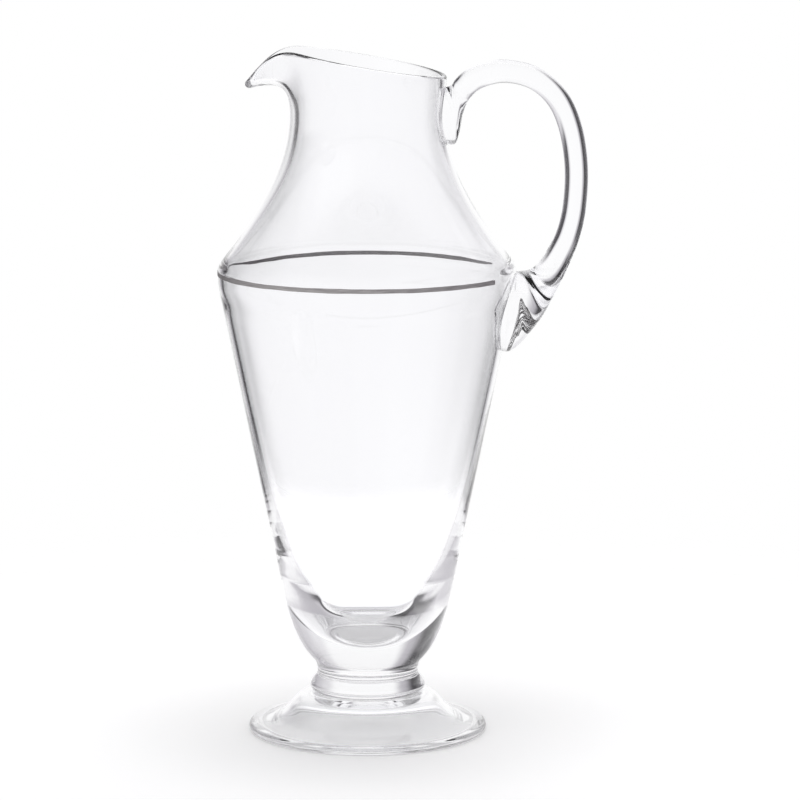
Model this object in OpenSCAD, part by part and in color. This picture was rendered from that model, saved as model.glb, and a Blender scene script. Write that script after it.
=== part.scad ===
// Footed water pitcher of clear hand-blown glass with one fired silver line round its shoulder.
// Five pieces fused hot: bowl with a pulled spout, stem bead, foot, handle, and the painted line.
// Frame: origin at the centre of the foot's resting ring, +Z up, handle towards +X, spout towards -X.

/* [Foot and stem] */
// Radius of the foot's rim
foot_r = 54; // [51:0.5:57]
// Thickness of the foot's rim
foot_rim_h = 4; // [3.5:0.1:4.5]
// Height where the foot meets the stem bead
foot_top_z = 18; // [17:0.25:19]
// Radius of both joints of the stem bead
stem_joint_r = 23.2; // [22.8:0.1:24]
// Widest radius of the stem bead
bead_r = 26; // [25.4:0.2:27]
// Height where the stem bead meets the bowl
bead_top_z = 25.6; // [25:0.1:26.4]
// Thickness of the glass over the hollow under the foot
foot_t = 2.8; // [2.4:0.1:3.6]

/* [Bowl] */
// Radius of the waist between the stem bead and the bowl
waist_r = 22.9; // [22.4:0.1:23.2]
// Radius where the bowl's rounded base turns into its straight wall
base_r = 37; // [35.6:0.2:38]
// Height where the bowl's rounded base turns into its straight wall
base_z = 59.5; // [58:0.5:61]
// Radius of the shoulder, the widest part of the bowl
shoulder_r = 66.9; // [65:0.1:69]
// Height of the middle of the shoulder, where the silver line runs
shoulder_z = 209.2; // [207:0.2:211]
// Height of the lowest point inside the bowl
cavity_z = 44; // [42:0.5:48]
// Thickness of the wall at the shoulder and the neck
wall_t = 2.7; // [2.2:0.1:3.2]

/* [Mouth and spout] */
// Radius of the throat, the narrowest part of the neck
throat_r = 34.6; // [33:0.1:36]
// Height of the throat
throat_z = 280; // [278:0.5:282]
// Height of the rim beside the handle, its lowest side
rim_low_z = 296.2; // [294:0.5:298]
// Rise of the rim for each millimetre towards the spout
rim_slope = 0.164; // [0.14:0.002:0.2]
// How far the spout reaches beyond the rim's own circle
spout_reach = 14.5; // [12:0.5:16]
// How far the tip of the spout drops below the rim's slope
spout_drop = 19; // [17:0.5:21]

/* [Handle] */
// Radius of the handle's round rod
rod_r = 5.2; // [4.8:0.1:5.6]
// Half the width of the pad that joins the handle to the shoulder
pad_half_w = 20; // [17:0.5:21]
// Half the width of the tongue that joins the handle to the neck
tongue_half_w = 8; // [7:0.1:9]

/* [Silver line] */
// Width of the painted line
line_w = 1.8; // [1.2:0.1:2.4]
// Thickness of the painted line
line_t = 0.15; // [0.1:0.01:0.2]
// Angle from the handle to each end of the line
line_gap_deg = 30; // [24:1:40]

/* [Hidden] */

steps = 10;          // straight pieces in each curved stretch of a profile
mouth_sides = 90;    // sides of the mouth round the axis
crowding = 0.5;      // share by which the mouth's sides crowd together towards the spout
mouth_rows = 9;      // rows from the throat to the rim
rim_rows = 4;        // rows round the rim's half-round edge
mouth_sink = 1.5;    // how far the mouth reaches down into the neck's wall
mouth_inset = 0.3;   // how far the mouth's first row stays inside the neck's faces
flare = 0.0038;      // outward curve of the wall above the throat, per millimetre squared
spout_power = 25;    // the higher this is, the narrower the spout
drop_power = 1.75;   // the higher this is, the nearer to the tip the rim starts to drop
tip_lean = 104;      // angle from vertical at which the wall leaves at the spout's tip
lip_extra = 0.45;    // share by which the glass is thicker at the spout's tip
rod_sides = 20;      // sides of the handle round its own line
rod_rings = 3;       // rings between two stations of the handle
joint_gap = 0.02;    // clearance between the handle and the many-sided mouth
GLASS = [0.86, 0.9, 0.92, 0.45];
SILVER = [0.6, 0.58, 0.6];

// --- curves -----------------------------------------------------------------

function mix(a, b, t) = a + (b - a) * t;

// A point on a cubic curve with four control points, and a run of points along it after the first
function bezier(p, t) = pow(1 - t, 3) * p[0] + 3 * t * pow(1 - t, 2) * p[1]
    + 3 * t * t * (1 - t) * p[2] + pow(t, 3) * p[3];
function curve(p, n = steps) = [for (i = [1:n]) bezier(p, i / n)];

// A smooth curve through a list of stations, at station i plus t
function through(s, i, t) =
    let (a = s[max(i - 1, 0)], b = s[i], c = s[i + 1], d = s[min(i + 2, len(s) - 1)])
    0.5 * (2 * b + (c - a) * t + (2 * a - 5 * b + 4 * c - d) * t * t
        + (3 * b - a - 3 * c + d) * pow(t, 3));

function unit(v) = v / norm(v);

// --- profiles, as [radius, height] ------------------------------------------

ring_in_r = foot_r - 6.5;      // inner edge of the foot's flat resting ring
hollow_r = stem_joint_r + 10.2; // where the hollow under the foot turns up into its roof
hollow_z = foot_top_z - foot_t; // height of that roof
line_low_z = shoulder_z - line_w / 2;
line_top_z = shoulder_z + line_w / 2;
land_low_z = line_low_z - 0.6;  // the shoulder is upright from here
land_top_z = line_top_z + 0.6;  // to here, so that the line lies on a true cylinder

function stem_waist() = concat([[stem_joint_r, bead_top_z]],
    curve([[stem_joint_r, bead_top_z], [waist_r - 0.4, bead_top_z + 1.4],
        [waist_r - 0.4, bead_top_z + 5.2], [waist_r + 2.4, bead_top_z + 8.1]]));

function bowl_base() = curve([[waist_r + 2.4, bead_top_z + 8.1], [waist_r + 7, bead_top_z + 12.9],
    [base_r - 2.7, base_z - 12.9], [base_r, base_z]]);

function shoulder() = concat(
    curve([[shoulder_r - 1.3, land_low_z - 9.5], [shoulder_r - 0.6, land_low_z - 6.2],
        [shoulder_r, land_low_z - 3], [shoulder_r, land_low_z]], 6),
    [[shoulder_r, line_low_z], [shoulder_r, line_top_z], [shoulder_r, land_top_z]],
    curve([[shoulder_r, land_top_z], [shoulder_r, land_top_z + 1.6],
        [shoulder_r - 2.1, land_top_z + 4.2], [shoulder_r - 4.8, land_top_z + 7.6]], 6));

function neck() = curve([[shoulder_r - 4.8, land_top_z + 7.6], [shoulder_r - 18.6, land_top_z + 25.4],
    [throat_r, throat_z - 23], [throat_r, throat_z]], 16);

function bowl_outside() = concat(stem_waist(), bowl_base(),
    [[shoulder_r - 1.3, land_low_z - 9.5]], shoulder(), neck());

// The inside follows the neck and shoulder at the wall's thickness, then closes in on a heavy base
function bowl_inside() = concat(
    [[throat_r - wall_t, throat_z]],
    curve([[throat_r - wall_t, throat_z], [throat_r - wall_t, throat_z - 23],
        [shoulder_r - 20.5, land_top_z + 23.9], [shoulder_r - 6.6, land_top_z + 6.1]], 16),
    curve([[shoulder_r - 6.6, land_top_z + 6.1], [shoulder_r - 4.3, land_top_z + 3.2],
        [shoulder_r - wall_t, land_top_z + 1], [shoulder_r - wall_t, shoulder_z - 3]], 6),
    curve([[shoulder_r - wall_t, shoulder_z - 3], [shoulder_r - wall_t, shoulder_z - 8],
        [shoulder_r - 4, shoulder_z - 11.5], [shoulder_r - 4.9, shoulder_z - 15.5]], 4),
    curve([[shoulder_r - 4.9, shoulder_z - 15.5], [shoulder_r - 24.8, shoulder_z - 110],
        [33, cavity_z], [0, cavity_z]], 20));

function foot_outside() = concat([[0, foot_top_z], [stem_joint_r, foot_top_z]],
    curve([[stem_joint_r, foot_top_z], [stem_joint_r + 9.8, foot_top_z + 1],
        [stem_joint_r + 10.3, foot_top_z - 8], [foot_r - 12, foot_rim_h + 2.2]]),
    [[foot_r - 2, foot_rim_h]],
    curve([[foot_r - 2, foot_rim_h], [foot_r + 0.6, foot_rim_h - 0.2],
        [foot_r + 0.6, 0.2], [foot_r - 1.8, 0]], 8));

// The hollow under the foot: it follows the outside at an even thickness, up to a flat roof
function foot_underside() = concat([[ring_in_r, 0]],
    curve([[ring_in_r, 0], [ring_in_r - 4.5, 1.8], [hollow_r + 3.5, hollow_z - 9.7],
        [hollow_r, hollow_z - 5.8]]),
    curve([[hollow_r, hollow_z - 5.8], [hollow_r - 3, hollow_z - 2.4],
        [hollow_r - 5.5, hollow_z], [hollow_r - 12, hollow_z]]),
    [[0, hollow_z]]);

// --- mouth and spout ----------------------------------------------------------

// Share of the spout's full effect at an angle round the axis
function spout_share(a) = pow((1 - cos(a)) / 2, spout_power);
function rim_radius(a) = let (z = rim_low_z + rim_slope * throat_r * (1 - cos(a)))
    throat_r + flare * pow(z - throat_z, 2) + spout_reach * spout_share(a);
function rim_height(a) = rim_low_z + rim_slope * (throat_r - rim_radius(a) * cos(a))
    - spout_drop * pow(spout_share(a), drop_power);

// The wall's outside at angle a, from the throat at u = 0 to the rim at u = 1
function mouth_point(a, u) =
    let (s = spout_share(a), r = rim_radius(a), z = rim_height(a), h = z - throat_z,
        lean = mix(atan(2 * flare * h), tip_lean, pow(s, 0.75)),
        reach = mix(h / 3, 14, s), lift = mix(h / 3, 12, s),
        p = bezier([[throat_r, throat_z], [throat_r, throat_z + lift],
            [r - reach * sin(lean), z - reach * cos(lean)], [r, z]], u))
    [p[0] * cos(a), p[0] * sin(a), p[1]];

function mouth_normal(a, u) = let (d = 0.01, e = 0.5,
        low = mouth_point(a, max(u - d, 0)), high = mouth_point(a, min(u + d, 1)),
        left = mouth_point(a - e, u), right = mouth_point(a + e, u))
    unit(cross(right - left, high - low));

function mouth_wall(a, u) = wall_t * (1 + lip_extra * spout_share(a) * pow(u, 4));

// One point of the mouth: rows up the outside, round the rim, and down the inside
function rim_edge(a, turn) = let (n = mouth_normal(a, 1), half = mouth_wall(a, 1) / 2,
        up = unit(mouth_point(a, 1) - mouth_point(a, 0.98)))
    mouth_point(a, 1) + half * ((cos(turn) - 1) * n + sin(turn) * up);
function mouth_vertex(row, a) = let (last = mouth_rows + rim_rows, u = (last + mouth_rows - row) / mouth_rows)
    row <= mouth_rows ? mouth_point(a, row / mouth_rows)
    : row < last ? rim_edge(a, 180 * (row - mouth_rows) / rim_rows)
    : mouth_point(a, u) - mouth_wall(a, u) * mouth_normal(a, u);

function mouth_angle(j) = let (a = j * 360 / mouth_sides) a + crowding * sin(a) * 180 / PI;
function round_axis(r, z) = [for (j = [0:mouth_sides - 1])
    [r * cos(mouth_angle(j)), r * sin(mouth_angle(j)), z]];

// The rings just above and just below the throat stay inside the neck's own faces
function mouth_rings() = let (n = 2 * mouth_rows + rim_rows, outer = throat_r - mouth_inset,
        widest = (1 + crowding) * 360 / mouth_sides,
        inner = (throat_r - wall_t + mouth_inset) / cos(widest / 2))
    concat([round_axis(outer, throat_z - mouth_sink)], [round_axis(outer, throat_z)],
        [for (row = [1:n - 1]) [for (j = [0:mouth_sides - 1]) mouth_vertex(row, mouth_angle(j))]],
        [round_axis(inner, throat_z)], [round_axis(inner, throat_z - mouth_sink)]);

// A closed skin over rings of points. With loop, the last ring joins the first and there are no ends
module skin(rings, loop = false) {
    m = len(rings);
    n = len(rings[0]);
    points = [for (ring = rings) for (p = ring) p];
    sides = [for (i = [0:m - (loop ? 1 : 2)]) for (j = [0:n - 1])
        let (k = (j + 1) % n, low = i * n, high = ((i + 1) % m) * n)
        each [[low + j, high + k, low + k], [low + j, high + j, high + k]]];
    ends = loop ? [] : concat([for (j = [1:n - 2]) [0, j, j + 1]],
        [for (j = [1:n - 2]) [(m - 1) * n, (m - 1) * n + j + 1, (m - 1) * n + j]]);
    polyhedron(points = points, faces = concat(sides, ends), convexity = 6);
}

// --- handle -------------------------------------------------------------------

// Each station is a slice through the handle: its inner point [x, z], its outer point [x, z], and half
// its width. They run from the tongue on the neck, over the loop, and down into the pad on the shoulder.
function handle_stations() = [
    [31, 268.4, 31, 291, tongue_half_w - 0.6],
    [38.6, 266.6, 37.2, 293, tongue_half_w],
    [41, 271.2, 39.2, 295.5, tongue_half_w],
    [42.8, 280.4, 42.2, 298.6, tongue_half_w - 1],
    [45.6, 286.8, 46.8, 301.3, rod_r + 1.4],
    [51.2, 291.8, 52.8, 303.4, rod_r + 0.7],
    [61.2, 294.1, 61.4, 304.5, rod_r + 0.1],
    [72.2, 291.6, 75.8, 301.3, rod_r],
    [80.6, 284.2, 88.4, 291, rod_r],
    [85.5, 272.8, 95.5, 276, rod_r],
    [88, 256.8, 98.5, 257.2, rod_r],
    [87.4, 240.6, 97.8, 238.6, rod_r],
    [85, 229.2, 94.9, 224.8, rod_r + 0.2],
    [80.9, 220.4, 91, 214.6, rod_r + 0.6],
    [76.4, 213.6, 87.3, 206.4, rod_r + 1.8],
    [72.8, 210.8, 83.2, 198.2, rod_r + 4],
    [70.4, 210.2, 78.8, 190.2, 0.62 * pad_half_w],
    [68.6, 209.9, 73.8, 183.4, 0.82 * pad_half_w],
    [67.2, 209.7, 68.4, 177.2, 0.97 * pad_half_w],
    [65.4, 209.4, 63, 173.8, pad_half_w],
    [57, 208.5, 57, 175, 0.94 * pad_half_w],
];

// The ring of points round one slice, flat in the plane of its two points and the Y axis
function handle_ring(s) = let (inner = [s[0], 0, s[1]], outer = [s[2], 0, s[3]],
        centre = (inner + outer) / 2, arm = (outer - inner) / 2)
    [for (j = [0:rod_sides - 1]) let (a = j * 360 / rod_sides)
        centre + cos(a) * arm + [0, sin(a) * s[4], 0]];

function handle_rings() = let (s = handle_stations(), n = len(s) - 1)
    concat([for (i = [0:n - 1]) for (k = [0:rod_rings - 1]) handle_ring(through(s, i, k / rod_rings))],
        [handle_ring(s[n])]);

// Everything within the bowl's outside, up past the handle, so that the handle ends on the glass
module bowl_filled() {
    top = [for (i = [1:4]) let (z = throat_z + i * 4)
        [throat_r + flare * pow(z - throat_z, 2) + joint_gap, z]];
    rotate_extrude($fn = 96)
        polygon(concat([[0, bead_top_z]], bowl_outside(), [[throat_r + joint_gap, throat_z]], top,
            [[0, throat_z + 16]]));
}

// --- pieces ---------------------------------------------------------------------

module bowl() {
    color(GLASS) {
        rotate_extrude($fn = 96)
            polygon(concat([[0, bead_top_z]], bowl_outside(), bowl_inside()));
        skin(mouth_rings(), loop = true);
    }
}

// The bead swells out low down, and its upper side carries on the line of the waist
module stem_bead() {
    bulge = 2.25 * (bead_r - stem_joint_r) - 0.65;
    color(GLASS)
        rotate_extrude($fn = 96)
            polygon(concat([[0, bead_top_z], [0, foot_top_z], [stem_joint_r, foot_top_z]],
                curve([[stem_joint_r, foot_top_z], [stem_joint_r + bulge, foot_top_z + 2.2],
                    [stem_joint_r + 1.2, bead_top_z - 2.4], [stem_joint_r, bead_top_z]], 12)));
}

module foot() {
    color(GLASS)
        rotate_extrude($fn = 96)
            polygon(concat(foot_outside(), foot_underside()));
}

module handle() {
    color(GLASS)
        difference() {
            skin(handle_rings());
            bowl_filled();
        }
}

module silver_line() {
    color(SILVER)
        rotate([0, 0, line_gap_deg])
            rotate_extrude(angle = 360 - 2 * line_gap_deg, $fn = 96)
                polygon([[shoulder_r, line_low_z], [shoulder_r + line_t, line_low_z + line_t],
                    [shoulder_r + line_t, line_top_z - line_t], [shoulder_r, line_top_z]]);
}

bowl();
stem_bead();
foot();
handle();
silver_line();
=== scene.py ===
"""The looks of a footed clear-glass water pitcher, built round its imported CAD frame.

Every glass piece is a smooth closed mesh that stands for its CAD node. Where two pieces are fused,
they share one contact face, which is see-through, so that light passes from one to the next as it
does in a single lump of glass. Sizes in the functions below are in millimetres, as in the CAD.
"""

import math

import bmesh
import bpy
import numpy as np
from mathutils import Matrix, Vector


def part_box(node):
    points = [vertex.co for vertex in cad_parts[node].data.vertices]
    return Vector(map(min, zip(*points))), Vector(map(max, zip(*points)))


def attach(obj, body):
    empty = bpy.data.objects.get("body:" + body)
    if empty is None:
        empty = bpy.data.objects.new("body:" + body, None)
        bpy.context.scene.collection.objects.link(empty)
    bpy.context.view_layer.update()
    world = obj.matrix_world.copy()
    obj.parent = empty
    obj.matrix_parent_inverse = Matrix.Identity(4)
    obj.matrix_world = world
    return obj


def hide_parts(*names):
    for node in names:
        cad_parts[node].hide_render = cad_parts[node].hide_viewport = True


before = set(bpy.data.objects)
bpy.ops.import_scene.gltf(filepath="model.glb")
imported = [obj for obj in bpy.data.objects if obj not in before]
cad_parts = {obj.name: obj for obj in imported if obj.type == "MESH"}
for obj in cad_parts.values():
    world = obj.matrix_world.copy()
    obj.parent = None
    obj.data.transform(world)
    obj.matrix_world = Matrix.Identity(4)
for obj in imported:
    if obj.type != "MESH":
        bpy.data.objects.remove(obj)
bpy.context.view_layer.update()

MM = 0.001  # metres in a millimetre


def corner(node, side):
    """A corner of a CAD node's box, in millimetres: side 0 is the lowest and 1 the highest."""
    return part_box(node)[side] / MM


# ---------------------------------------------------------------- sizes, in millimetres

FOOT_R = corner("foot", 1).x
FOOT_TOP = corner("foot", 1).z
BEAD_R = corner("stem_bead", 1).x
BEAD_TOP = corner("stem_bead", 1).z
SHOULDER_R = corner("bowl", 1).x
LINE_LOW = corner("silver_line", 0).z
LINE_TOP = corner("silver_line", 1).z
SHOULDER_Z = (LINE_LOW + LINE_TOP) / 2
LAND_LOW, LAND_TOP = LINE_LOW - 0.2, LINE_TOP + 0.2  # where the shoulder is a true cylinder
TURN_LOW, TURN_TOP = LINE_LOW - 0.6, LINE_TOP + 0.6  # heights that the wall and neck are drawn from

JOINT_R = 23.2  # both joints of the stem bead
FOOT_RIM_H = 4.0  # height of the foot's edge
WAIST_R = 22.9  # narrowest place, just above the stem bead
FOOT_WALL = 2.8  # glass over the hollow under the foot
BASE_R, BASE_Z = 37.0, 59.5  # where the bowl's rounded base turns into its straight wall
CAVITY_Z = 44.0  # lowest point inside the bowl
WALL = 2.7
THROAT_R, THROAT_Z = 34.6, 280.0  # narrowest place of the neck, where the mouth begins
RIM_LOW_Z, RIM_SLOPE = 296.2, 0.164  # height of the rim at the handle, and its rise towards the spout
FLARE = 0.0038  # how fast the mouth opens with height
SPOUT_REACH, SPOUT_DROP = 14.5, 19.0  # how far the tip is pulled out, and down
SPOUT_POWER, DROP_POWER = 25.0, 1.75  # how narrow the spout is, and how late it drops
TIP_LEAN = 104.0  # degrees that the tip leans over from upright
LIP_EXTRA = 0.45  # share by which the lip is thicker at the tip
GATHER, GATHER_POWER = 0.7, 12  # extra glass in the neck's wall below the spout, and how narrow it is
GATHER_LOW, GATHER_TOP = 224.0, 262.0  # heights where it begins and where it is all there
ROD_R, PAD_HALF_W, TONGUE_HALF_W = 5.2, 20.0, 8.0
LINE_GAP = 30.0  # degrees from the handle to each end of the silver line
LINE_BURIED, LINE_PROUD = 0.05, 0.13  # how far the film is melted into the glass and stands out of it
LINE_SPREAD = 0.08  # how far the paint has run past each edge of the line

SIDES = 240  # points round the axis
CROWDING = 0.5  # share by which they crowd together towards the spout
MOUTH_ROWS, RIM_ROWS = 30, 12  # rings from the throat to the rim, and round the rim's edge
ROD_SIDES, ROD_RINGS = 56, 12  # points round the handle, and rings between two of its stations
LINE_POINTS = 720  # points along the silver line

# ---------------------------------------------------------------- curves and profiles


def mix(a, b, t):
    return a + (b - a) * t


def bezier(points, t):
    p = np.asarray(points, float)
    t = np.asarray(t, float)[..., None]
    return (1 - t) ** 3 * p[0] + 3 * t * (1 - t) ** 2 * p[1] + 3 * t * t * (1 - t) * p[2] + t**3 * p[3]


def curve(points, n):
    """n points along a cubic curve, after its first one."""
    return [tuple(p) for p in bezier(points, np.arange(1, n + 1) / n)]


def bowl_outside():
    """The turned outside of the bowl as (radius, height), from the stem bead up to the throat."""
    waist = curve([(JOINT_R, BEAD_TOP), (WAIST_R - 0.4, BEAD_TOP + 1.4),
                   (WAIST_R - 0.4, BEAD_TOP + 5.2), (WAIST_R + 2.4, BEAD_TOP + 8.1)], 18)
    base = curve([(WAIST_R + 2.4, BEAD_TOP + 8.1), (WAIST_R + 7, BEAD_TOP + 12.9),
                  (BASE_R - 2.7, BASE_Z - 12.9), (BASE_R, BASE_Z)], 22)
    top_of_wall = (SHOULDER_R - 1.3, TURN_LOW - 9.5)
    wall = [(mix(BASE_R, top_of_wall[0], t), mix(BASE_Z, top_of_wall[1], t))
            for t in (i / 14 for i in range(1, 15))]
    shoulder = curve([top_of_wall, (SHOULDER_R - 0.6, TURN_LOW - 6.2),
                      (SHOULDER_R, TURN_LOW - 3), (SHOULDER_R, LAND_LOW)], 10)
    shoulder += [(SHOULDER_R, LINE_LOW), (SHOULDER_R, LINE_TOP), (SHOULDER_R, LAND_TOP)]
    shoulder += curve([(SHOULDER_R, LAND_TOP), (SHOULDER_R, TURN_TOP + 1.4),
                       (SHOULDER_R - 2.1, TURN_TOP + 4.2), (SHOULDER_R - 4.8, TURN_TOP + 7.6)], 12)
    neck = curve([(SHOULDER_R - 4.8, TURN_TOP + 7.6), (SHOULDER_R - 18.6, TURN_TOP + 25.4),
                  (THROAT_R, THROAT_Z - 23), (THROAT_R, THROAT_Z)], 36)
    return [(JOINT_R, BEAD_TOP)] + waist + base + wall + shoulder + neck


def bowl_inside():
    """The turned inside of the bowl, from the throat down to its lowest point."""
    neck = curve([(THROAT_R - WALL, THROAT_Z), (THROAT_R - WALL, THROAT_Z - 23),
                  (SHOULDER_R - 20.5, TURN_TOP + 23.9), (SHOULDER_R - 6.6, TURN_TOP + 6.1)], 36)
    shoulder = curve([(SHOULDER_R - 6.6, TURN_TOP + 6.1), (SHOULDER_R - 4.3, TURN_TOP + 3.2),
                      (SHOULDER_R - WALL, TURN_TOP + 1), (SHOULDER_R - WALL, SHOULDER_Z - 3)], 12)
    shoulder += curve([(SHOULDER_R - WALL, SHOULDER_Z - 3), (SHOULDER_R - WALL, SHOULDER_Z - 8),
                       (SHOULDER_R - 4, SHOULDER_Z - 11.5), (SHOULDER_R - 4.9, SHOULDER_Z - 15.5)], 8)
    wall = curve([(SHOULDER_R - 4.9, SHOULDER_Z - 15.5), (SHOULDER_R - 24.8, SHOULDER_Z - 110),
                  (33, CAVITY_Z), (0, CAVITY_Z)], 64)
    return neck + shoulder + wall


def foot_profile():
    """The foot's outside from the stem bead to its resting ring, then the hollow underneath."""
    ring_in, hollow_r, hollow_z = FOOT_R - 6.5, JOINT_R + 10.2, FOOT_TOP - FOOT_WALL
    top = curve([(JOINT_R, FOOT_TOP), (JOINT_R + 9.8, FOOT_TOP + 1),
                 (JOINT_R + 10.3, FOOT_TOP - 8), (FOOT_R - 12, FOOT_RIM_H + 2.2)], 26)
    brim = curve([(FOOT_R - 12, FOOT_RIM_H + 2.2), (FOOT_R - 8, FOOT_RIM_H + 1.3),
                  (FOOT_R - 5, FOOT_RIM_H + 0.7), (FOOT_R - 2, FOOT_RIM_H)], 8)
    edge = curve([(FOOT_R - 2, FOOT_RIM_H), (FOOT_R + 0.6, FOOT_RIM_H - 0.2),
                  (FOOT_R + 0.6, 0.2), (FOOT_R - 1.8, 0)], 18)
    ring = [(mix(FOOT_R - 1.8, ring_in, i / 3), 0) for i in range(1, 4)]
    under = curve([(ring_in, 0), (ring_in - 4.5, 1.8), (hollow_r + 3.5, hollow_z - 9.7),
                   (hollow_r, hollow_z - 5.8)], 20)
    roof = curve([(hollow_r, hollow_z - 5.8), (hollow_r - 3, hollow_z - 2.4),
                  (hollow_r - 5.5, hollow_z), (hollow_r - 12, hollow_z)], 16)
    roof += [(hollow_r - 12 - 3 * i, hollow_z) for i in range(1, 7)] + [(0, hollow_z)]
    return [(JOINT_R, FOOT_TOP)] + top + brim + edge + ring + under + roof


def bead_profile():
    """The bead swells out low down, and its upper side carries on the line of the waist."""
    bulge = 2.25 * (BEAD_R - JOINT_R) - 0.65
    return [(JOINT_R, BEAD_TOP)] + curve([(JOINT_R, BEAD_TOP), (JOINT_R + 1.2, BEAD_TOP - 2.4),
                                          (JOINT_R + bulge, FOOT_TOP + 2.2), (JOINT_R, FOOT_TOP)], 24)


# ---------------------------------------------------------------- mouth and spout

ANGLES = np.array([2 * math.pi * j / SIDES for j in range(SIDES)])
ANGLES = ANGLES + CROWDING * np.sin(ANGLES)

# The mouth's wall starts off straight up for this share of its height, to carry on the neck's curvature
THROAT_BEND = (SHOULDER_R - 18.6 - THROAT_R) / (1.5 * 23**2)
PLAIN_LIFT = math.sqrt(FLARE / (4.5 * THROAT_BEND))


def spout_share(a):
    """Share of the spout's full effect at an angle round the axis."""
    return ((1 - np.cos(a)) / 2) ** SPOUT_POWER


def mouth_point(a, u):
    """The wall's outside at angles a, from the throat at u = 0 to the rim at u = 1."""
    s = spout_share(a)
    plain_z = RIM_LOW_Z + RIM_SLOPE * THROAT_R * (1 - np.cos(a))
    r = THROAT_R + FLARE * (plain_z - THROAT_Z) ** 2 + SPOUT_REACH * s
    z = RIM_LOW_Z + RIM_SLOPE * (THROAT_R - r * np.cos(a)) - SPOUT_DROP * s**DROP_POWER
    h = z - THROAT_Z
    lean = np.radians(mix(np.degrees(np.arctan(2 * FLARE * h)), TIP_LEAN, s**0.75))
    reach, lift = mix(h / 3, 14, s), mix(PLAIN_LIFT * h, 12, s)
    pr = [THROAT_R + 0 * a, THROAT_R + 0 * a, r - reach * np.sin(lean), r]
    pz = [THROAT_Z + 0 * a, THROAT_Z + lift, z - reach * np.cos(lean), z]
    w = [(1 - u) ** 3, 3 * u * (1 - u) ** 2, 3 * u * u * (1 - u), u**3]
    radius = sum(k * p for k, p in zip(w, pr))
    height = sum(k * p for k, p in zip(w, pz))
    return np.stack([radius * np.cos(a), radius * np.sin(a), height], -1)


def unit(v):
    return v / np.linalg.norm(v, axis=-1, keepdims=True)


def mouth_normal(a, u):
    step = 0.01
    along = mouth_point(a, min(u + step, 1)) - mouth_point(a, max(u - step, 0))
    across = mouth_point(a + step, u) - mouth_point(a - step, u)
    return unit(np.cross(across, along))


def gathered(a):
    """Extra glass that the pulled spout draws into the wall below it."""
    return GATHER * ((1 - np.cos(a)) / 2) ** GATHER_POWER


def mouth_inner(a, u):
    """The wall's inside, which thickens towards the tip of the spout and towards the neck below it."""
    wall = WALL * (1 + LIP_EXTRA * spout_share(a) * u**4) + gathered(a) * (1 - u) ** 2 * (1 + 2 * u)
    return mouth_point(a, u) - wall[:, None] * mouth_normal(a, u)


def mouth_outside():
    return [mouth_point(ANGLES, i / MOUTH_ROWS) for i in range(1, MOUTH_ROWS + 1)]


def rim():
    """Rings round the fire-polished edge, which is half round."""
    top, n = mouth_point(ANGLES, 1), mouth_normal(ANGLES, 1)
    half = (WALL / 2 * (1 + LIP_EXTRA * spout_share(ANGLES)))[:, None]
    up = unit(top - mouth_point(ANGLES, 0.98))
    turns = [math.pi * i / RIM_ROWS for i in range(1, RIM_ROWS)]
    return [top + half * ((math.cos(t) - 1) * n + math.sin(t) * up) for t in turns]


def mouth_inside():
    return [mouth_inner(ANGLES, i / MOUTH_ROWS) for i in range(MOUTH_ROWS, 0, -1)]


# ---------------------------------------------------------------- meshes


def turned(profile):
    """Rings of a profile turned round the axis. A point on the axis stays a single point."""
    rings = []
    for r, z in profile:
        if r < 1e-6:
            rings.append(np.array([[0.0, 0.0, z]]))
        else:
            rings.append(np.stack([r * np.cos(ANGLES), r * np.sin(ANGLES), 0 * ANGLES + z], -1))
    return rings


def inside_rings():
    """The turned inside of the bowl, thicker in the neck on the spout's side."""
    rings = turned(bowl_inside())
    for ring in rings:
        t = np.clip((ring[0, 2] - GATHER_LOW) / (GATHER_TOP - GATHER_LOW), 0, 1)
        if t > 0:
            ring[:, :2] -= unit(ring[:, :2]) * (gathered(ANGLES) * t * t * (3 - 2 * t))[:, None]
    return rings


def stitch(rings, material=0):
    """Faces that join neighbouring rings, which may be single points. Returns points and faces."""
    points = np.concatenate(rings)
    starts = np.cumsum([0] + [len(r) for r in rings])
    faces = []
    for i in range(len(rings) - 1):
        a, b, na, nb = starts[i], starts[i + 1], len(rings[i]), len(rings[i + 1])
        n = max(na, nb)
        for j in range(n):
            k = (j + 1) % n
            if na == 1:
                faces.append((a, b + k, b + j))
            elif nb == 1:
                faces.append((a + j, a + k, b))
            else:
                faces.append((a + j, a + k, b + k, b + j))
    return points, faces, [material] * len(faces)


def to_mesh(name, parts):
    """One mesh from several (points, faces, materials) parts, in metres, with its seams welded."""
    points, faces, materials = [], [], []
    for p, f, m in parts:
        shift = sum(len(q) for q in points)
        points.append(np.asarray(p))
        faces += [tuple(i + shift for i in face) for face in f]
        materials += m
    mesh = bpy.data.meshes.new(name)
    mesh.from_pydata((np.concatenate(points) * MM).tolist(), [], faces)
    mesh.polygons.foreach_set("material_index", materials)
    weld(mesh)
    return mesh


CREASE = math.radians(40)  # edges that turn more than this stay sharp
WELD = 2e-6  # metres


def weld(mesh):
    bm = bmesh.new()
    bm.from_mesh(mesh)
    bmesh.ops.remove_doubles(bm, verts=bm.verts, dist=WELD)
    bmesh.ops.dissolve_degenerate(bm, edges=bm.edges, dist=1e-7)
    bmesh.ops.recalc_face_normals(bm, faces=bm.faces)
    for face in bm.faces:
        face.smooth = True
    for edge in bm.edges:
        one_material = len({f.material_index for f in edge.link_faces}) < 2
        edge.smooth = one_material and edge.calc_face_angle(0) < CREASE
    bm.to_mesh(mesh)
    bm.free()


def add(name, mesh, materials):
    for material in materials:
        mesh.materials.append(material)
    piece = bpy.data.objects.new(name, mesh)
    bpy.context.scene.collection.objects.link(piece)
    return piece


def stand_for(piece, node):
    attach(piece, "root")
    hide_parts(node)


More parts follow.
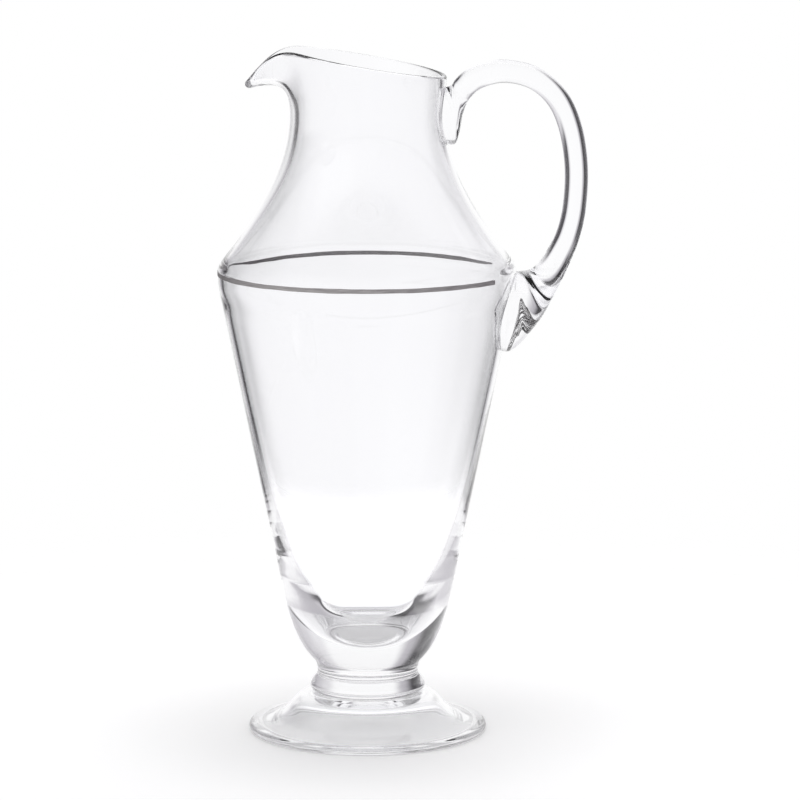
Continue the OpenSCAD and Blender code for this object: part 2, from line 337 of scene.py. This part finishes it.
# ---------------------------------------------------------------- materials


def nodes_of(material):
    material.use_nodes = True
    tree = material.node_tree
    tree.nodes.clear()
    return tree


def link(tree, a, out, b, into):
    tree.links.new(a.outputs[out], b.inputs[into])


def glass_material():
    """Clear hand-worked glass: faint waves left by the tools, and a very slight grey."""
    material = bpy.data.materials.new("clear_glass")
    tree = nodes_of(material)
    out = tree.nodes.new("ShaderNodeOutputMaterial")
    shader = tree.nodes.new("ShaderNodeBsdfPrincipled")
    shader.inputs["Base Color"].default_value = (0.99, 0.99, 1.0, 1)
    shader.inputs["Roughness"].default_value = 0.0
    shader.inputs["IOR"].default_value = 1.5
    shader.inputs["Transmission Weight"].default_value = 1.0
    place = tree.nodes.new("ShaderNodeTexCoord")
    stretch = tree.nodes.new("ShaderNodeMapping")
    stretch.inputs["Scale"].default_value = (1, 1, 0.45)
    waves = tree.nodes.new("ShaderNodeTexNoise")
    waves.inputs["Scale"].default_value = 34
    waves.inputs["Detail"].default_value = 1.5
    bump = tree.nodes.new("ShaderNodeBump")
    bump.inputs["Strength"].default_value = 0.15
    bump.inputs["Distance"].default_value = 0.0006
    link(tree, place, "Object", stretch, "Vector")
    link(tree, stretch, "Vector", waves, "Vector")
    link(tree, waves, "Fac", bump, "Height")
    link(tree, bump, "Normal", shader, "Normal")
    link(tree, shader, "BSDF", out, "Surface")
    return material


def contact_material():
    """The face where two pieces of glass are fused: light passes straight through it."""
    material = bpy.data.materials.new("fused_contact")
    tree = nodes_of(material)
    out = tree.nodes.new("ShaderNodeOutputMaterial")
    clear = tree.nodes.new("ShaderNodeBsdfTransparent")
    link(tree, clear, "BSDF", out, "Surface")
    return material


def silver_material():
    """Silver paint laid on with a brush and fired: streaks along the line, and thin spots."""
    material = bpy.data.materials.new("fired_silver")
    tree = nodes_of(material)
    out = tree.nodes.new("ShaderNodeOutputMaterial")
    shader = tree.nodes.new("ShaderNodeBsdfPrincipled")
    shader.inputs["Metallic"].default_value = 0.6
    place = tree.nodes.new("ShaderNodeTexCoord")
    stretch = tree.nodes.new("ShaderNodeMapping")
    stretch.inputs["Scale"].default_value = (1, 1, 14)
    streaks = tree.nodes.new("ShaderNodeTexNoise")
    streaks.inputs["Scale"].default_value = 160
    streaks.inputs["Detail"].default_value = 4
    colour = tree.nodes.new("ShaderNodeValToRGB")
    colour.color_ramp.elements[0].position = 0.3
    colour.color_ramp.elements[0].color = (0.27, 0.255, 0.258, 1)
    colour.color_ramp.elements[1].position = 0.75
    colour.color_ramp.elements[1].color = (0.48, 0.46, 0.46, 1)
    rough = tree.nodes.new("ShaderNodeMapRange")
    rough.inputs["To Min"].default_value = 0.38
    rough.inputs["To Max"].default_value = 0.55
    bump = tree.nodes.new("ShaderNodeBump")
    bump.inputs["Strength"].default_value = 0.2
    bump.inputs["Distance"].default_value = 0.0001
    link(tree, place, "Object", stretch, "Vector")
    link(tree, stretch, "Vector", streaks, "Vector")
    link(tree, streaks, "Fac", colour, "Fac")
    link(tree, streaks, "Fac", rough, "Value")
    link(tree, streaks, "Fac", bump, "Height")
    link(tree, colour, "Color", shader, "Base Color")
    link(tree, rough, "Result", shader, "Roughness")
    link(tree, bump, "Normal", shader, "Normal")
    link(tree, shader, "BSDF", out, "Surface")
    return material


# ---------------------------------------------------------------- handle

# Each station is a slice through the handle: its inner point (x, z), its outer point (x, z), and half its
# width. They run from the tongue on the neck, over the loop, and down into the pad on the shoulder.
STATIONS = [
    (31, 268.4, 31, 291, TONGUE_HALF_W - 0.6),
    (38.6, 266.6, 37.2, 293, TONGUE_HALF_W),
    (41, 271.2, 39.2, 295.5, TONGUE_HALF_W),
    (42.8, 280.4, 42.2, 298.6, TONGUE_HALF_W - 1),
    (45.6, 286.8, 46.8, 301.3, ROD_R + 1.4),
    (51.2, 291.8, 52.8, 303.4, ROD_R + 0.7),
    (61.2, 294.1, 61.4, 304.5, ROD_R + 0.1),
    (72.2, 291.6, 75.8, 301.3, ROD_R),
    (80.6, 284.2, 88.4, 291, ROD_R),
    (85.5, 272.8, 95.5, 276, ROD_R),
    (88, 256.8, 98.5, 257.2, ROD_R),
    (87.4, 240.6, 97.8, 238.6, ROD_R),
    (85, 229.2, 94.9, 224.8, ROD_R + 0.2),
    (80.9, 220.4, 91, 214.6, ROD_R + 0.6),
    (76.4, 213.6, 87.3, 206.4, ROD_R + 1.8),
    (72.8, 210.8, 83.2, 198.2, ROD_R + 4),
    (70.4, 210.2, 78.8, 190.2, 0.62 * PAD_HALF_W),
    (68.6, 209.9, 73.8, 183.4, 0.82 * PAD_HALF_W),
    (67.2, 209.7, 68.4, 177.2, 0.97 * PAD_HALF_W),
    (65.4, 209.4, 63, 173.8, PAD_HALF_W),
    (57, 208.5, 57, 175, 0.94 * PAD_HALF_W),
]


def through(stations, per_gap):
    """A smooth run of slices through the stations."""
    s = np.asarray(stations, float)
    out = []
    for i in range(len(s) - 1):
        a, b, c, d = s[max(i - 1, 0)], s[i], s[i + 1], s[min(i + 2, len(s) - 1)]
        for k in range(per_gap):
            t = k / per_gap
            out.append(0.5 * (2 * b + (c - a) * t + (2 * a - 5 * b + 4 * c - d) * t * t
                              + (3 * b - a - 3 * c + d) * t**3))
    out.append(s[-1])
    return out


def handle_rings():
    turn = np.arange(ROD_SIDES) * 2 * math.pi / ROD_SIDES
    rings = []
    for xi, zi, xo, zo, half_w in through(STATIONS, ROD_RINGS):
        inner, outer = np.array([xi, 0, zi]), np.array([xo, 0, zo])
        centre, arm, side = (inner + outer) / 2, (outer - inner) / 2, np.array([0, half_w, 0])
        rings.append(centre + np.cos(turn)[:, None] * arm + np.sin(turn)[:, None] * side)
    middle = [r.mean(0, keepdims=True) for r in (rings[0], rings[-1])]
    return [middle[0]] + rings + [middle[1]]


def boolean(name, mesh, other, operation):
    """The mesh that a boolean of two closed meshes gives. Both keep their faces' material numbers."""
    objects = [bpy.data.objects.new(f"{name}_{i}", m) for i, m in enumerate((mesh, other))]
    for o in objects:
        bpy.context.scene.collection.objects.link(o)
    modifier = objects[0].modifiers.new("boolean", "BOOLEAN")
    modifier.operation = operation
    modifier.solver = "EXACT"
    modifier.object = objects[1]
    bpy.context.view_layer.update()
    evaluated = objects[0].evaluated_get(bpy.context.evaluated_depsgraph_get())
    result = bpy.data.meshes.new_from_object(evaluated)
    result.name = name
    for o in objects:
        bpy.data.objects.remove(o)
    return result


def part_of(mesh, keep, material, flip=False):
    """The faces of a mesh with one material number, in millimetres, ready for to_mesh."""
    points = np.zeros(len(mesh.vertices) * 3)
    mesh.vertices.foreach_get("co", points)
    faces = [tuple(p.vertices) for p in mesh.polygons if p.material_index == keep]
    if flip:
        faces = [f[::-1] for f in faces]
    used = sorted({i for f in faces for i in f})
    where = {old: new for new, old in enumerate(used)}
    faces = [tuple(where[i] for i in f) for f in faces]
    return points.reshape(-1, 3)[used] / MM, faces, [material] * len(faces)


# ---------------------------------------------------------------- pieces

GLASS, CONTACT, LID = 0, 1, 2
glass, contact, silver = glass_material(), contact_material(), silver_material()


def on_axis(z):
    return np.array([[0, 0, z]])


def bowl_and_handle():
    """The handle ends on the bowl's skin, and both get the same contact faces there."""
    outside = turned(bowl_outside()) + mouth_outside()
    under = [on_axis(BEAD_TOP), outside[0]]
    lid = [outside[-1], on_axis(THROAT_Z + 10)]
    filled = to_mesh("filled", [stitch(under, LID), stitch(outside, GLASS), stitch(lid, LID)])
    sweep = to_mesh("sweep", [stitch(handle_rings(), CONTACT)])
    for mesh in (filled, sweep):
        for m in (glass, contact, silver):
            mesh.materials.append(m)
    joined = boolean("joined", filled, sweep, "UNION")
    cut = boolean("cut", sweep, filled, "DIFFERENCE")
    inside = [outside[-1]] + rim() + mouth_inside() + inside_rings()
    bowl = to_mesh("bowl", [part_of(joined, GLASS, GLASS), part_of(cut, GLASS, CONTACT, flip=True),
                            stitch(inside, GLASS), stitch(under, CONTACT)])
    handle = to_mesh("handle", [part_of(cut, CONTACT, GLASS), part_of(cut, GLASS, CONTACT)])
    return bowl, handle


def foot_mesh():
    profile = turned(foot_profile())
    return to_mesh("foot", [stitch([on_axis(FOOT_TOP), profile[0]], CONTACT), stitch(profile, GLASS)])


def bead_mesh():
    profile = turned(bead_profile())
    return to_mesh("stem_bead", [stitch([on_axis(BEAD_TOP), profile[0]], CONTACT),
                                 stitch(profile, GLASS),
                                 stitch([profile[-1], on_axis(FOOT_TOP)], CONTACT)])


def wander(a, waves):
    """A slight wave along the line, from (height, turns round the axis, start) of each of its parts."""
    return sum(height * np.sin(turns * a + start) for height, turns, start in waves)


def line_mesh():
    """The painted line: a thin film whose edges wander a little, as a brush leaves them."""
    n = LINE_POINTS
    a = np.radians(np.linspace(LINE_GAP, 360 - LINE_GAP, n))
    top = LINE_TOP + LINE_SPREAD + wander(a, ((0.06, 7, 1), (0.036, 17, 0), (0.018, 41, 2)))
    low = LINE_LOW - LINE_SPREAD + wander(a, ((0.048, 9, 2), (0.036, 23, 1), (0.018, 37, 0)))
    inner, outer = SHOULDER_R - LINE_BURIED, SHOULDER_R + LINE_PROUD
    section = ((inner, low), (inner, top), (outer, top), (outer, low))
    points = np.concatenate([np.stack([r * np.cos(a), r * np.sin(a), z], -1) for r, z in section])
    count = len(section)
    faces = []
    for i in range(count):
        k = (i + 1) % count
        faces += [(i * n + j, i * n + j + 1, k * n + j + 1, k * n + j) for j in range(n - 1)]
    faces.append(tuple(i * n for i in range(count)))
    faces.append(tuple(i * n + n - 1 for i in reversed(range(count))))
    return to_mesh("silver_line", [(points, faces, [0] * len(faces))])


def build_pieces():
    bowl, handle = bowl_and_handle()
    blown = (("bowl", bowl), ("handle", handle), ("foot", foot_mesh()), ("stem_bead", bead_mesh()))
    for node, mesh in blown:
        stand_for(add("glass_" + node, mesh, [glass, contact]), node)
    stand_for(add("painted_line", line_mesh(), [silver]), "silver_line")


build_pieces()

# ---------------------------------------------------------------- stage, light and camera

FLOOR_R, FADE_START, FADE_END = 4.0, 0.2, 0.5  # metres
FLOOR_DROP = 0.0002  # metres that the table top lies below the foot, so that the two never coincide
PAINTED_SHADOW_START, PAINTED_SHADOW_END = 0.045, 0.14  # painted shadow: the table glows less this far out round the foot, in metres
PAINTED_GLOW_NEAR, PAINTED_GLOW_FAR = 0.33, 0.41  # the table's painted glow inside that painted shadow and beyond it


def floor_material():
    """White table top with a painted glow, dimmer round the foot as a painted shadow, that fades out into
    the white studio.
    """
    material = bpy.data.materials.new("floor")
    tree = nodes_of(material)
    out = tree.nodes.new("ShaderNodeOutputMaterial")
    white = tree.nodes.new("ShaderNodeBsdfPrincipled")
    white.inputs["Base Color"].default_value = (0.9, 0.9, 0.9, 1)
    white.inputs["Roughness"].default_value = 0.9
    white.inputs["Specular IOR Level"].default_value = 0.0
    # painted glow: the table top gives off light of its own
    white.inputs["Emission Color"].default_value = (1, 1, 1, 1)
    clear = tree.nodes.new("ShaderNodeBsdfTransparent")
    place = tree.nodes.new("ShaderNodeTexCoord")
    reach = tree.nodes.new("ShaderNodeVectorMath")
    reach.operation = "LENGTH"
    fade = tree.nodes.new("ShaderNodeMapRange")
    fade.interpolation_type = "SMOOTHSTEP"
    fade.inputs["From Min"].default_value = FADE_START
    fade.inputs["From Max"].default_value = FADE_END
    # painted shadow: the glow drops close to the foot
    painted_shadow = tree.nodes.new("ShaderNodeMapRange")
    painted_shadow.interpolation_type = "SMOOTHSTEP"
    painted_shadow.inputs["From Min"].default_value = PAINTED_SHADOW_START
    painted_shadow.inputs["From Max"].default_value = PAINTED_SHADOW_END
    painted_shadow.inputs["To Min"].default_value = PAINTED_GLOW_NEAR
    painted_shadow.inputs["To Max"].default_value = PAINTED_GLOW_FAR
    mixer = tree.nodes.new("ShaderNodeMixShader")
    link(tree, place, "Object", reach, 0)
    link(tree, reach, "Value", painted_shadow, "Value")
    link(tree, painted_shadow, "Result", white, "Emission Strength")
    link(tree, reach, "Value", fade, "Value")
    link(tree, fade, "Result", mixer, 0)
    link(tree, white, "BSDF", mixer, 1)
    link(tree, clear, "BSDF", mixer, 2)
    link(tree, mixer, "Shader", out, "Surface")
    return material


def make_floor():
    rings = [np.array([[0.0, 0.0, 0.0]])]
    for r in (FADE_START / 2, FADE_END, FLOOR_R):
        rings.append(np.stack([r * np.cos(ANGLES), r * np.sin(ANGLES), 0 * ANGLES], -1) / MM)
    floor = add("floor", to_mesh("floor", [stitch(rings)]), [floor_material()])
    floor.location.z = -FLOOR_DROP


# The studio all round, as (degrees from straight behind the pitcher, + to its right; brightness)
STUDIO_LOW = [
    (-180, 0.85), (-150, 1.0), (-80, 0.95), (-68, 0.7), (-57, 0.08), (-31, 0.02), (-25, 0.5), (-18, 1.0),
    (18, 1.0), (24, 0.7), (29, 0.06), (48, 0.06), (62, 0.4), (98, 0.5), (130, 0.6), (155, 0.7), (180, 0.85),
]
STUDIO_HIGH = [
    (-180, 0.75), (-150, 0.95), (-120, 0.9), (-100, 0.5), (-80, 0.06), (-62, 0.03), (-44, 0.03), (-30, 0.5),
    (-20, 1.0), (20, 1.0), (30, 0.8), (45, 0.65), (62, 0.45), (98, 0.5), (120, 0.55), (150, 0.65),
    (180, 0.75),
]
HORIZON_START, HORIZON_END = -1, 7  # degrees of elevation where the lower ramp gives way to the upper
OVERHEAD_START, OVERHEAD_END = 38, 62  # degrees where that gives way to the grey overhead
OVERHEAD = 0.4
BOWL_CROSSINGS = 4  # surfaces that light meets on its way through both walls of the bowl
BACKDROP_SHARE = 0.9  # share of white backdrop in light that crosses them without being reflected


def studio_ramp(tree, share, studio):
    """Brightness by direction round the pitcher. The darker it is, the cooler."""
    ramp = tree.nodes.new("ShaderNodeValToRGB")
    ramp.color_ramp.interpolation = "EASE"
    elements = ramp.color_ramp.elements
    while len(elements) < len(studio):
        elements.new(0.5)
    for element, (angle, value) in zip(elements, studio):
        element.position = angle / 360 + 0.5
        cool = 1 + 0.06 * (1 - value)
        element.color = (value, value * (2 - cool), value * cool, 1)
    link(tree, share, "Result", ramp, "Fac")
    return ramp


def calculate(tree, operation, *constants):
    """A math node. The constants go into the inputs after its first one."""
    node = tree.nodes.new("ShaderNodeMath")
    node.operation = operation
    for at, value in enumerate(constants, 1):
        node.inputs[at].default_value = value
    return node


def above(tree, split, start, end):
    """0 below one elevation and 1 above the other, in degrees."""
    high = tree.nodes.new("ShaderNodeMapRange")
    high.interpolation_type = "SMOOTHSTEP"
    high.inputs["From Min"].default_value = math.sin(math.radians(start))
    high.inputs["From Max"].default_value = math.sin(math.radians(end))
    link(tree, split, "Z", high, "Value")
    return high


def blended(tree, factor):
    blend = tree.nodes.new("ShaderNodeMix")
    blend.data_type = "RGBA"
    link(tree, factor, "Result", blend, "Factor")
    return blend


def backdrop_share(tree):
    """How much of the plain white backdrop a ray sees: all, if it comes straight from the camera."""
    path = tree.nodes.new("ShaderNodeLightPath")
    crossed = calculate(tree, "COMPARE", BOWL_CROSSINGS, 0.5)
    unreflected = calculate(tree, "LESS_THAN", 0.5)
    both = calculate(tree, "MULTIPLY")
    whole_share = calculate(tree, "MULTIPLY_ADD", BACKDROP_SHARE)
    whole_share.use_clamp = True
    link(tree, path, "Transmission Depth", crossed, 0)
    link(tree, path, "Glossy Depth", unreflected, 0)
    link(tree, crossed, "Value", both, 0)
    link(tree, unreflected, "Value", both, 1)
    link(tree, both, "Value", whole_share, 0)
    link(tree, path, "Is Camera Ray", whole_share, 2)
    return whole_share


def make_world():
    """A white studio, open and dark in upright bands that draw the edges of clear glass."""
    world = bpy.data.worlds.new("studio")
    bpy.context.scene.world = world
    world.use_nodes = True
    tree = world.node_tree
    tree.nodes.clear()
    out = tree.nodes.new("ShaderNodeOutputWorld")
    place = tree.nodes.new("ShaderNodeTexCoord")
    split = tree.nodes.new("ShaderNodeSeparateXYZ")
    turn = calculate(tree, "ARCTAN2")
    share = tree.nodes.new("ShaderNodeMapRange")
    share.inputs["From Min"].default_value = -math.pi
    share.inputs["From Max"].default_value = math.pi
    link(tree, place, "Generated", split, "Vector")
    link(tree, split, "X", turn, 0)
    link(tree, split, "Y", turn, 1)
    link(tree, turn, "Value", share, "Value")
    low, high = studio_ramp(tree, share, STUDIO_LOW), studio_ramp(tree, share, STUDIO_HIGH)
    sides = blended(tree, above(tree, split, HORIZON_START, HORIZON_END))
    tree.links.new(low.outputs["Color"], sides.inputs["A"])
    tree.links.new(high.outputs["Color"], sides.inputs["B"])
    whole = blended(tree, above(tree, split, OVERHEAD_START, OVERHEAD_END))
    tree.links.new(sides.outputs["Result"], whole.inputs["A"])
    whole.inputs["B"].default_value = (OVERHEAD, OVERHEAD, OVERHEAD, 1)
    glow = tree.nodes.new("ShaderNodeBackground")
    white = tree.nodes.new("ShaderNodeBackground")
    white.inputs["Color"].default_value = (1, 1, 1, 1)
    choose = tree.nodes.new("ShaderNodeMixShader")
    tree.links.new(whole.outputs["Result"], glow.inputs["Color"])
    link(tree, backdrop_share(tree), "Value", choose, 0)
    link(tree, glow, "Background", choose, 1)
    link(tree, white, "Background", choose, 2)
    link(tree, choose, "Shader", out, "Surface")


LAMP_PLACE, LAMP_AIM = Vector((0, 0.3, 1.9)), Vector((0, 0, 0.15))  # metres
LAMP_SIZE, LAMP_WATTS = 1.6, 8


def make_light():
    data = bpy.data.lights.new("overhead", "AREA")
    data.shape = "DISK"
    data.size = LAMP_SIZE
    data.energy = LAMP_WATTS
    lamp = bpy.data.objects.new("overhead", data)
    bpy.context.scene.collection.objects.link(lamp)
    lamp.location = LAMP_PLACE
    lamp.visible_glossy = lamp.visible_transmission = False
    lamp.rotation_euler = (LAMP_AIM - LAMP_PLACE).to_track_quat("-Z", "Y").to_euler()


# The camera looks at the side, spout to the left, from a little above and with a long lens
CAMERA_TURN, CAMERA_RISE = math.radians(2.5), math.radians(9.1)
CAMERA_DISTANCE, CAMERA_LENS = 1.89, 189.0
AIM_SIDE, AIM_HEIGHT = 0.0147, 0.1511


def make_camera():
    side = Vector((math.cos(CAMERA_TURN), math.sin(CAMERA_TURN), 0))
    level = Vector((-math.sin(CAMERA_TURN), math.cos(CAMERA_TURN), 0))
    look = level * math.cos(CAMERA_RISE) - Vector((0, 0, math.sin(CAMERA_RISE)))
    data = bpy.data.cameras.new("camera")
    data.sensor_width = 36
    data.lens = CAMERA_LENS
    data.clip_end = 50
    camera = bpy.data.objects.new("camera", data)
    bpy.context.scene.collection.objects.link(camera)
    camera.location = side * AIM_SIDE + Vector((0, 0, AIM_HEIGHT)) - look * CAMERA_DISTANCE
    camera.rotation_euler = look.to_track_quat("-Z", "Y").to_euler()
    bpy.context.scene.camera = camera


make_camera()
make_floor()
make_world()
make_light()

BOUNCES = 32  # light in thick glass is turned back many times before it gets out
paths = bpy.context.scene.cycles
paths.max_bounces = paths.glossy_bounces = BOUNCES
paths.transmission_bounces = paths.transparent_max_bounces = BOUNCES

view = bpy.context.scene.view_settings
view.view_transform = "Standard"
view.look = "None"
view.exposure = 0
view.gamma = 1
